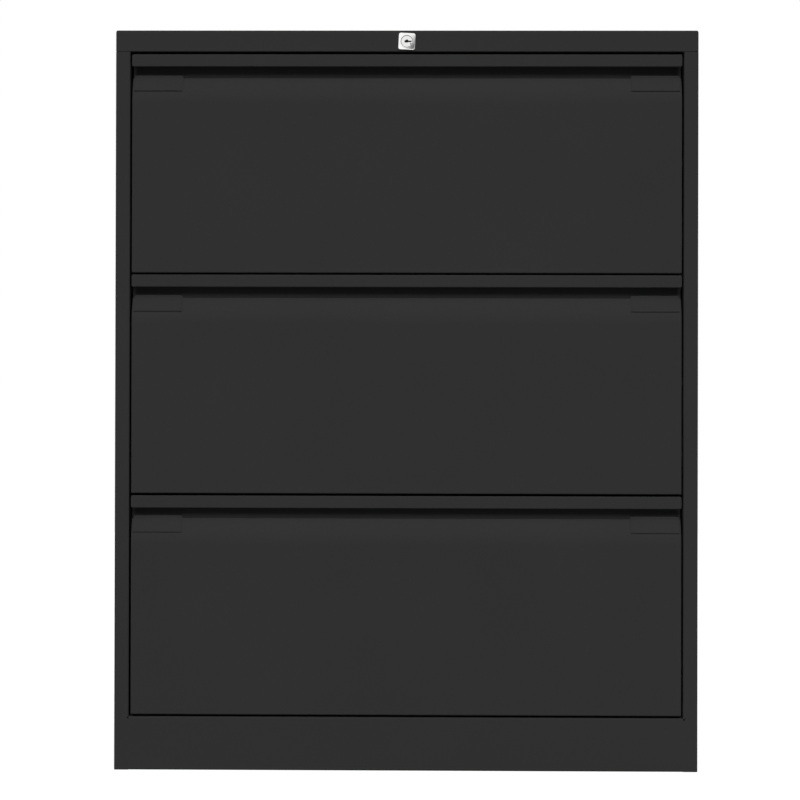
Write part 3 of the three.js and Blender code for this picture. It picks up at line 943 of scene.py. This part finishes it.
    def label_holder(self, side: Side) -> None:
        """A clip that follows the lip. Its outer upper corner is well rounded and its inner end thinned.

        Args:
            side: The end of the drawer that it sits at.
        """
        name = f"{self.body}_{side.label}_label_holder"
        box = Extent.of(name)
        top = box.high.z - self.box.low.z
        level = top - self.label_gap - self.label_sheet
        climb = level - self.panel_top
        steps = self.label_stem_steps
        face = [
            *self.lip(box.low.z - self.box.low.z),
            *((self.lip_setback, self.panel_top + climb * i / steps) for i in range(1, steps + 1)),
            (self.recess_depth - self.label_gap, level),
        ]
        back = filleted(offset_path(face, self.label_gap), *self.label_back_bends)
        front = filleted(offset_path(face, self.label_gap + self.label_sheet), *self.label_front_bends)
        inner, outer = sorted((abs(box.low.x), abs(box.high.x)))
        rings = []
        for near, far in zip(self.shift(back), self.shift(front)):
            rise = far[1] - self.base - top
            start = inner + self.corner_inset(rise, self.label_inner_corner)
            end = outer - self.corner_inset(rise, self.label_outer_corner)
            thin = tuple(a + self.label_thin * (b - a) for a, b in zip(near, far))
            places = (
                (near, start),
                (near, end),
                (far, end),
                (far, start + self.label_taper),
                (thin, start),
            )
            rings.append([Axis.X.place(point, side.value * along) for point, along in places])
        settle(name, Form().loft(rings).mesh(name), LABEL, self.body, name)

    @staticmethod
    def corner_inset(rise: float, radius: float) -> float:
        """How far a round corner draws an end in, at a height measured from the corner's top."""
        share = min(max(1 + rise / radius, 0.0), 1.0)
        return radius * (1 - math.sqrt(1 - share**2))


@dataclass
class Runner:
    """One telescopic runner: three channels that nest, with the rivets of the outer and inner ones."""

    number: int
    side: Side
    heads: HeadRow
    sheet: float = 1.5
    bend: float = 0.7
    first_rivet: float = 38.0
    rivet_pitch: float = 172.0
    rivet_count: int = 3
    rivet_radius: float = 3.6
    rivet_height: float = 1.2

    def build(self) -> None:
        """Makes the three members."""
        drawer = f"drawer_{self.number}"
        self.channel(Member.OUTER, "case")
        self.channel(Member.MIDDLE, f"{drawer}_runners")
        self.channel(Member.INNER, drawer)

    def channel(self, member: Member, body: str) -> None:
        """One member. The outer and middle ones open inwards and the inner one opens outwards.

        Args:
            member: The member to make.
            body: The CAD body that it rides on.
        """
        name = f"drawer_{self.number}_{self.side.label}_runner_{member.value}"
        box = Extent.of(name)
        near, far = sorted((abs(box.low.x), abs(box.high.x)))
        low, high = box.low.z, box.high.z
        path = [(near, low), (far, low), (far, high), (near, high)]
        if member is Member.INNER:
            path = [(far, high), (near, high), (near, low), (far, low)]
        section = self.side.mirror(folded(path, self.sheet, self.bend))
        form = Form().prism(section, Axis.Y, box.low.y, box.high.y)
        settle(name, form.mesh(name), ZINC, body, name)
        if member is Member.MIDDLE:
            return
        web, out = far - self.sheet, -self.side.value
        if member is Member.INNER:
            web, out = near + self.sheet, self.side.value
        rivets = self.heads.mesh(
            f"{name}_rivets",
            Vector((self.side.value * web, box.low.y + self.first_rivet, (low + high) / 2)),
            Vector((0, self.rivet_pitch, 0)),
            self.rivet_count,
            Vector((out, 0, 0)),
            ZINC,
            self.rivet_radius,
            self.rivet_height,
        )
        settle(f"{name}_rivets", rivets, ZINC, body)


@dataclass
class LockSet:
    """The lock's visible pieces, measured from the plug's axis and back from the case's face."""

    plate_corner: float = 2.8
    plate_least_corner: float = 0.2
    plate_turn: float = -2.7
    proud: float = 3.5
    edge: float = 0.9
    crown: float = 0.3
    crown_steps: int = 4
    barrel_radius: float = 9.5
    bore_radius: float = 8.4
    plug_radius: float = 7.8
    chamfer: float = 0.35
    key_depth: float = 12.0
    index_mark: Point = (5.4, -3.5)
    mark_radius: float = 1.0
    mark_depth: float = 1.5
    points: int = 192

    def __post_init__(self) -> None:
        """Finds the lock's place and the plate's size."""
        housing = Extent.of("lock_housing")
        self.face = housing.low.y + self.proud
        self.rear = housing.high.y - self.face
        self.level = (housing.low.z + housing.high.z) / 2
        self.plate_half = (housing.high.x - housing.low.x) / 2

    def build(self) -> None:
        """Makes the housing and the plug."""
        self.housing()
        self.plug()

    def ring(self, radius: float, depth: float) -> list[Vector]:
        """A round ring of points about the axis, at a depth behind the case's face."""
        turns = [math.tau * i / self.points for i in range(self.points)]
        return [
            Vector((radius * math.cos(t), self.face + depth, self.level + radius * math.sin(t)))
            for t in turns
        ]

    def square(self, half: float, depth: float) -> list[Vector]:
        """A square ring with round corners, turned a little, on the rays of a round ring's points.

        Args:
            half: Half the square's side.
            depth: Its depth behind the case's face.

        Returns:
            The ring.
        """
        corner = max(self.plate_corner - (self.plate_half - half), self.plate_least_corner)
        core = half - corner
        turn = Matrix.Rotation(math.radians(self.plate_turn), 2)
        places = []
        for ray in self.ring(1.0, 0.0):
            a, b = ray.x, ray.z - self.level
            across, up = (abs(share) for share in Vector((a, b)) @ turn)
            reach = half / max(across, up)
            if reach * min(across, up) > core:
                along = core * (across + up)
                reach = along + math.sqrt(along**2 - 2 * core**2 + corner**2)
            places.append(Vector((reach * a, self.face + depth, self.level + reach * b)))
        return places

    def crowned(self, ring: list[Vector]) -> list[Vector]:
        """Curves a ring of the plate's front back, the more the further it is from the bore.

        Args:
            ring: The ring, flat.

        Returns:
            The curved ring.
        """
        spread = self.plate_half**2 - self.bore_radius**2
        rounds = [p.x**2 + (p.z - self.level) ** 2 - self.bore_radius**2 for p in ring]
        return [p + Vector((0, self.crown * r / spread, 0)) for p, r in zip(ring, rounds)]

    def housing(self) -> None:
        """The square plate, crowned towards its bore, on a barrel bored for the plug."""
        front = -self.proud
        rings = [self.square(self.plate_half, 0.0)]
        for turn in QUARTER_ROUND:
            inset = self.edge * (1 - math.cos(turn))
            step = self.square(self.plate_half - inset, front + self.edge * (1 - math.sin(turn)))
            rings.append(self.crowned(step))
        brim = self.ring(self.bore_radius + self.chamfer, front)
        flat = self.square(self.plate_half - self.edge, front)
        for i in range(1, self.crown_steps + 1):
            rings.append(self.crowned([a.lerp(b, i / self.crown_steps) for a, b in zip(flat, brim)]))
        profile = [
            (self.bore_radius, front + self.chamfer),
            (self.bore_radius, self.rear),
            (self.barrel_radius, self.rear),
            (self.barrel_radius, 0.0),
        ]
        rings += [self.ring(radius, depth) for radius, depth in profile]
        mesh = Form().loft(rings, looped=True).mesh("lock_housing")
        settle("lock_housing", mesh, NICKEL, "case", "lock_housing")

    def plug(self) -> None:
        """The plug, cut by the keyhole and by the index mark at its rim."""
        box = Extent.of("lock_plug")
        front, rear = box.low.y - self.face, box.high.y - self.face
        rings = [
            self.ring(self.plug_radius - self.chamfer, front),
            self.ring(self.plug_radius, front + self.chamfer),
            self.ring(self.plug_radius, rear),
        ]
        blank = Form().loft(rings).mesh("lock_plug")
        blank.materials.append(NICKEL.material())
        # The cut faces of the keyhole and index mark take a near-black colour: painted shade.
        mesh = carved(blank, self.keyhole(front), KEYWAY_PAINTED_SHADE)
        settle("lock_plug", mesh, NICKEL, "lock_cylinder", "lock_plug")

    def keyhole(self, front: float) -> bpy.types.Mesh:
        """The space that the key enters, wide on the left and thin on the right, and the index mark.

        Args:
            front: The depth of the plug's front behind the case's face.

        Returns:
            The mesh to cut out of the plug.
        """
        outline = [
            (-3.1, -1.75),
            (1.6, -1.75),
            (2.2, -1.2),
            (6.4, -1.2),
            (6.4, 0.8),
            (2.4, 0.8),
            (1.7, 1.3),
            *arc((0.3, 1.3), (1.4, 1.2), 0, 180, 8),
            (-3.1, 1.4),
        ]
        mark = circle(self.index_mark, self.mark_radius)
        start = self.face + front
        form = Form()
        for points, depth in ((outline, self.key_depth), (mark, self.mark_depth)):
            section = [(a, self.level + b) for a, b in points]
            form.prism(section, Axis.Y, start - CUT_MARGIN, start + depth)
        return form.mesh("keyhole")


@dataclass
class Studio:
    """A white room with soft light, and the photograph's camera. Places are in metres."""

    distance: float = 3.2
    camera_x: float = 0.034
    camera_z: float = 0.4925
    yaw: float = -0.757
    pitch: float = 0.283
    roll: float = 0.137
    lens: float = 104.99
    sensor: float = 36.0
    floor_half: float = 6.0
    floor_color: str = "#8a8a8a"
    floor_lift: float = 0.85
    ambient_front: float = 0.25
    ambient_behind: float = 0.7
    panel_place: Triple = (0.42, 0.0, -0.1)
    panel_light: float = 0.12
    # Where the world's light changes, by a direction's depth or by its distance from the panel's middle.
    ambient_span: Point = (0.1, 0.6)
    behind_span: Point = (-0.4, 0.0)
    panel_span: Point = (0.31, 0.52)
    key_strength: float = 2.77
    key_height: float = 36.5
    key_spread: float = 30.0

    def build(self) -> None:
        """Makes the floor, the lights, the world and the camera."""
        bpy.context.scene.view_settings.view_transform = "Standard"
        self.floor()
        self.world()
        self.key_light()
        self.camera()

    @staticmethod
    def seen(tree: bpy.types.NodeTree) -> bpy.types.NodeSocket:
        """Tells the rays that show the background: the camera's, mirrored ones and those through glass.

        Args:
            tree: The tree that takes the nodes.

        Returns:
            A socket that is 1 for those rays and 0 for others.
        """
        rays = add_node(tree, "ShaderNodeLightPath").outputs
        shown = rays["Is Camera Ray"]
        for kind in ("Is Glossy Ray", "Is Transmission Ray"):
            either = add_node(tree, "ShaderNodeMath", {0: shown, 1: rays[kind]}, operation="MAXIMUM")
            shown = either.outputs[0]
        return shown

    def floor(self) -> None:
        """A pale floor that reads as white and keeps the cabinet's shadow."""
        mesh = bpy.data.meshes.new("floor")
        half = self.floor_half
        corners = [(-half, -half, 0), (half, -half, 0), (half, half, 0), (-half, half, 0)]
        mesh.from_pydata(corners, [], [(0, 1, 2, 3)])
        material = bpy.data.materials.new("studio_floor")
        material.use_nodes = True
        tree = material.node_tree
        tree.nodes.clear()
        matte = add_node(tree, "ShaderNodeBsdfDiffuse", {"Color": linear(self.floor_color)})
        lift = add_node(
            tree, "ShaderNodeMath", {0: self.seen(tree), 1: self.floor_lift}, operation="MULTIPLY"
        )
        glow = add_node(tree, "ShaderNodeEmission", {"Strength": lift.outputs[0]})
        both = add_node(tree, "ShaderNodeAddShader", {0: matte.outputs[0], 1: glow.outputs[0]})
        add_node(tree, "ShaderNodeOutputMaterial", {"Surface": both.outputs[0]})
        mesh.materials.append(material)
        floor = put("floor", mesh)

    def world(self) -> None:
        """White behind the cabinet. In front it is a bright room with a dim panel low on the right."""
        world = bpy.data.worlds.new("studio")
        world.use_nodes = True
        tree = world.node_tree
        tree.nodes.clear()
        sight = add_node(tree, "ShaderNodeTexCoord").outputs["Generated"]
        depth = add_node(tree, "ShaderNodeSeparateXYZ", {0: sight}).outputs["Y"]
        flat = add_node(tree, "ShaderNodeMapping", {"Vector": sight, "Scale": (1, 0, 1)})
        aside = add_node(
            tree, "ShaderNodeVectorMath", {0: flat.outputs[0], 1: self.panel_place}, operation="DISTANCE"
        )
        start, end = self.ambient_span
        ambient = add_node(
            tree,
            "ShaderNodeMapRange",
            {"Value": depth, 1: start, 2: end, 3: self.ambient_front, 4: self.ambient_behind},
        )
        start, end = self.behind_span
        behind = add_node(tree, "ShaderNodeMapRange", {"Value": depth, 1: start, 2: end})
        start, end = self.panel_span
        panel = add_node(
            tree,
            "ShaderNodeMapRange",
            {"Value": aside.outputs["Value"], 1: start, 2: end, 3: self.panel_light, 4: 1.0},
        )
        room = add_node(
            tree, "ShaderNodeMath", {0: behind.outputs[0], 1: panel.outputs[0]}, operation="MAXIMUM"
        )
        light = add_node(
            tree,
            "ShaderNodeMix",
            {0: self.seen(tree), 2: ambient.outputs[0], 3: room.outputs[0]},
            data_type="FLOAT",
        )
        camera = add_node(tree, "ShaderNodeLightPath").outputs["Is Camera Ray"]
        strength = add_node(
            tree, "ShaderNodeMath", {0: light.outputs[0], 1: camera}, operation="MAXIMUM"
        )
        glow = add_node(
            tree, "ShaderNodeBackground", {"Color": (1, 1, 1, 1), "Strength": strength.outputs[0]}
        )
        add_node(tree, "ShaderNodeOutputWorld", {"Surface": glow.outputs[0]})
        bpy.context.scene.world = world

    def key_light(self) -> None:
        """One broad, distant light from above the camera, which falls evenly on the whole front."""
        lamp = bpy.data.lights.new("key", "SUN")
        lamp.energy = self.key_strength
        lamp.angle = math.radians(self.key_spread)
        height = math.radians(self.key_height)
        source = Vector((0, -math.cos(height), math.sin(height)))
        piece = put("key", lamp)
        piece.visible_glossy = False
        piece.rotation_euler = source.to_track_quat("Z", "Y").to_euler()

    def camera(self) -> None:
        """The photograph's camera, almost square to the front."""
        yaw, pitch, roll = (math.radians(angle) for angle in (self.yaw, self.pitch, self.roll))
        forward = Vector(
            (math.sin(yaw) * math.cos(pitch), math.cos(yaw) * math.cos(pitch), math.sin(pitch))
        )
        level = Vector((math.cos(yaw), -math.sin(yaw), 0))
        above = level.cross(forward)
        right = math.cos(roll) * level + math.sin(roll) * above
        up = math.cos(roll) * above - math.sin(roll) * level
        lens = bpy.data.cameras.new("camera")
        lens.lens = self.lens
        lens.sensor_width = self.sensor
        lens.sensor_fit = "HORIZONTAL"
        camera = put("camera", lens)
        turn = Matrix((right, up, -forward)).transposed()
        place = Vector((self.camera_x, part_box("plinth_front")[0].y - self.distance, self.camera_z))
        camera.matrix_world = Matrix.Translation(place) @ turn.to_4x4()
        bpy.context.scene.camera = camera


def dress_remaining_nodes() -> None:
    """Gives each CAD node that still shows the finish of its slot."""
    slots = {part["node"]: part["material_slot"] for part in frame["record"]["subparts"]}
    for name, node in frame["nodes"].items():
        if node.hide_render:
            continue
        finish = FINISH_OF_SLOT[slots[name]]
        node.data.materials.clear()
        node.data.materials.append(finish.material())
        log.info("%s keeps its shape and takes %s", name, finish.name)


def main() -> None:
    """Builds the cabinet's looks and its studio."""
    logging.basicConfig(level=logging.INFO, format="%(message)s")
    Studio().build()
    heads = HeadRow()
    CaseShell(heads).build()
    for number, sag in enumerate(FRONT_SAGS, start=1):
        Drawer(number, sag).build()
        for side in Side:
            Runner(number, side, heads).build()
    LockSet().build()
    dress_remaining_nodes()


if __name__ == "__main__":
    main()
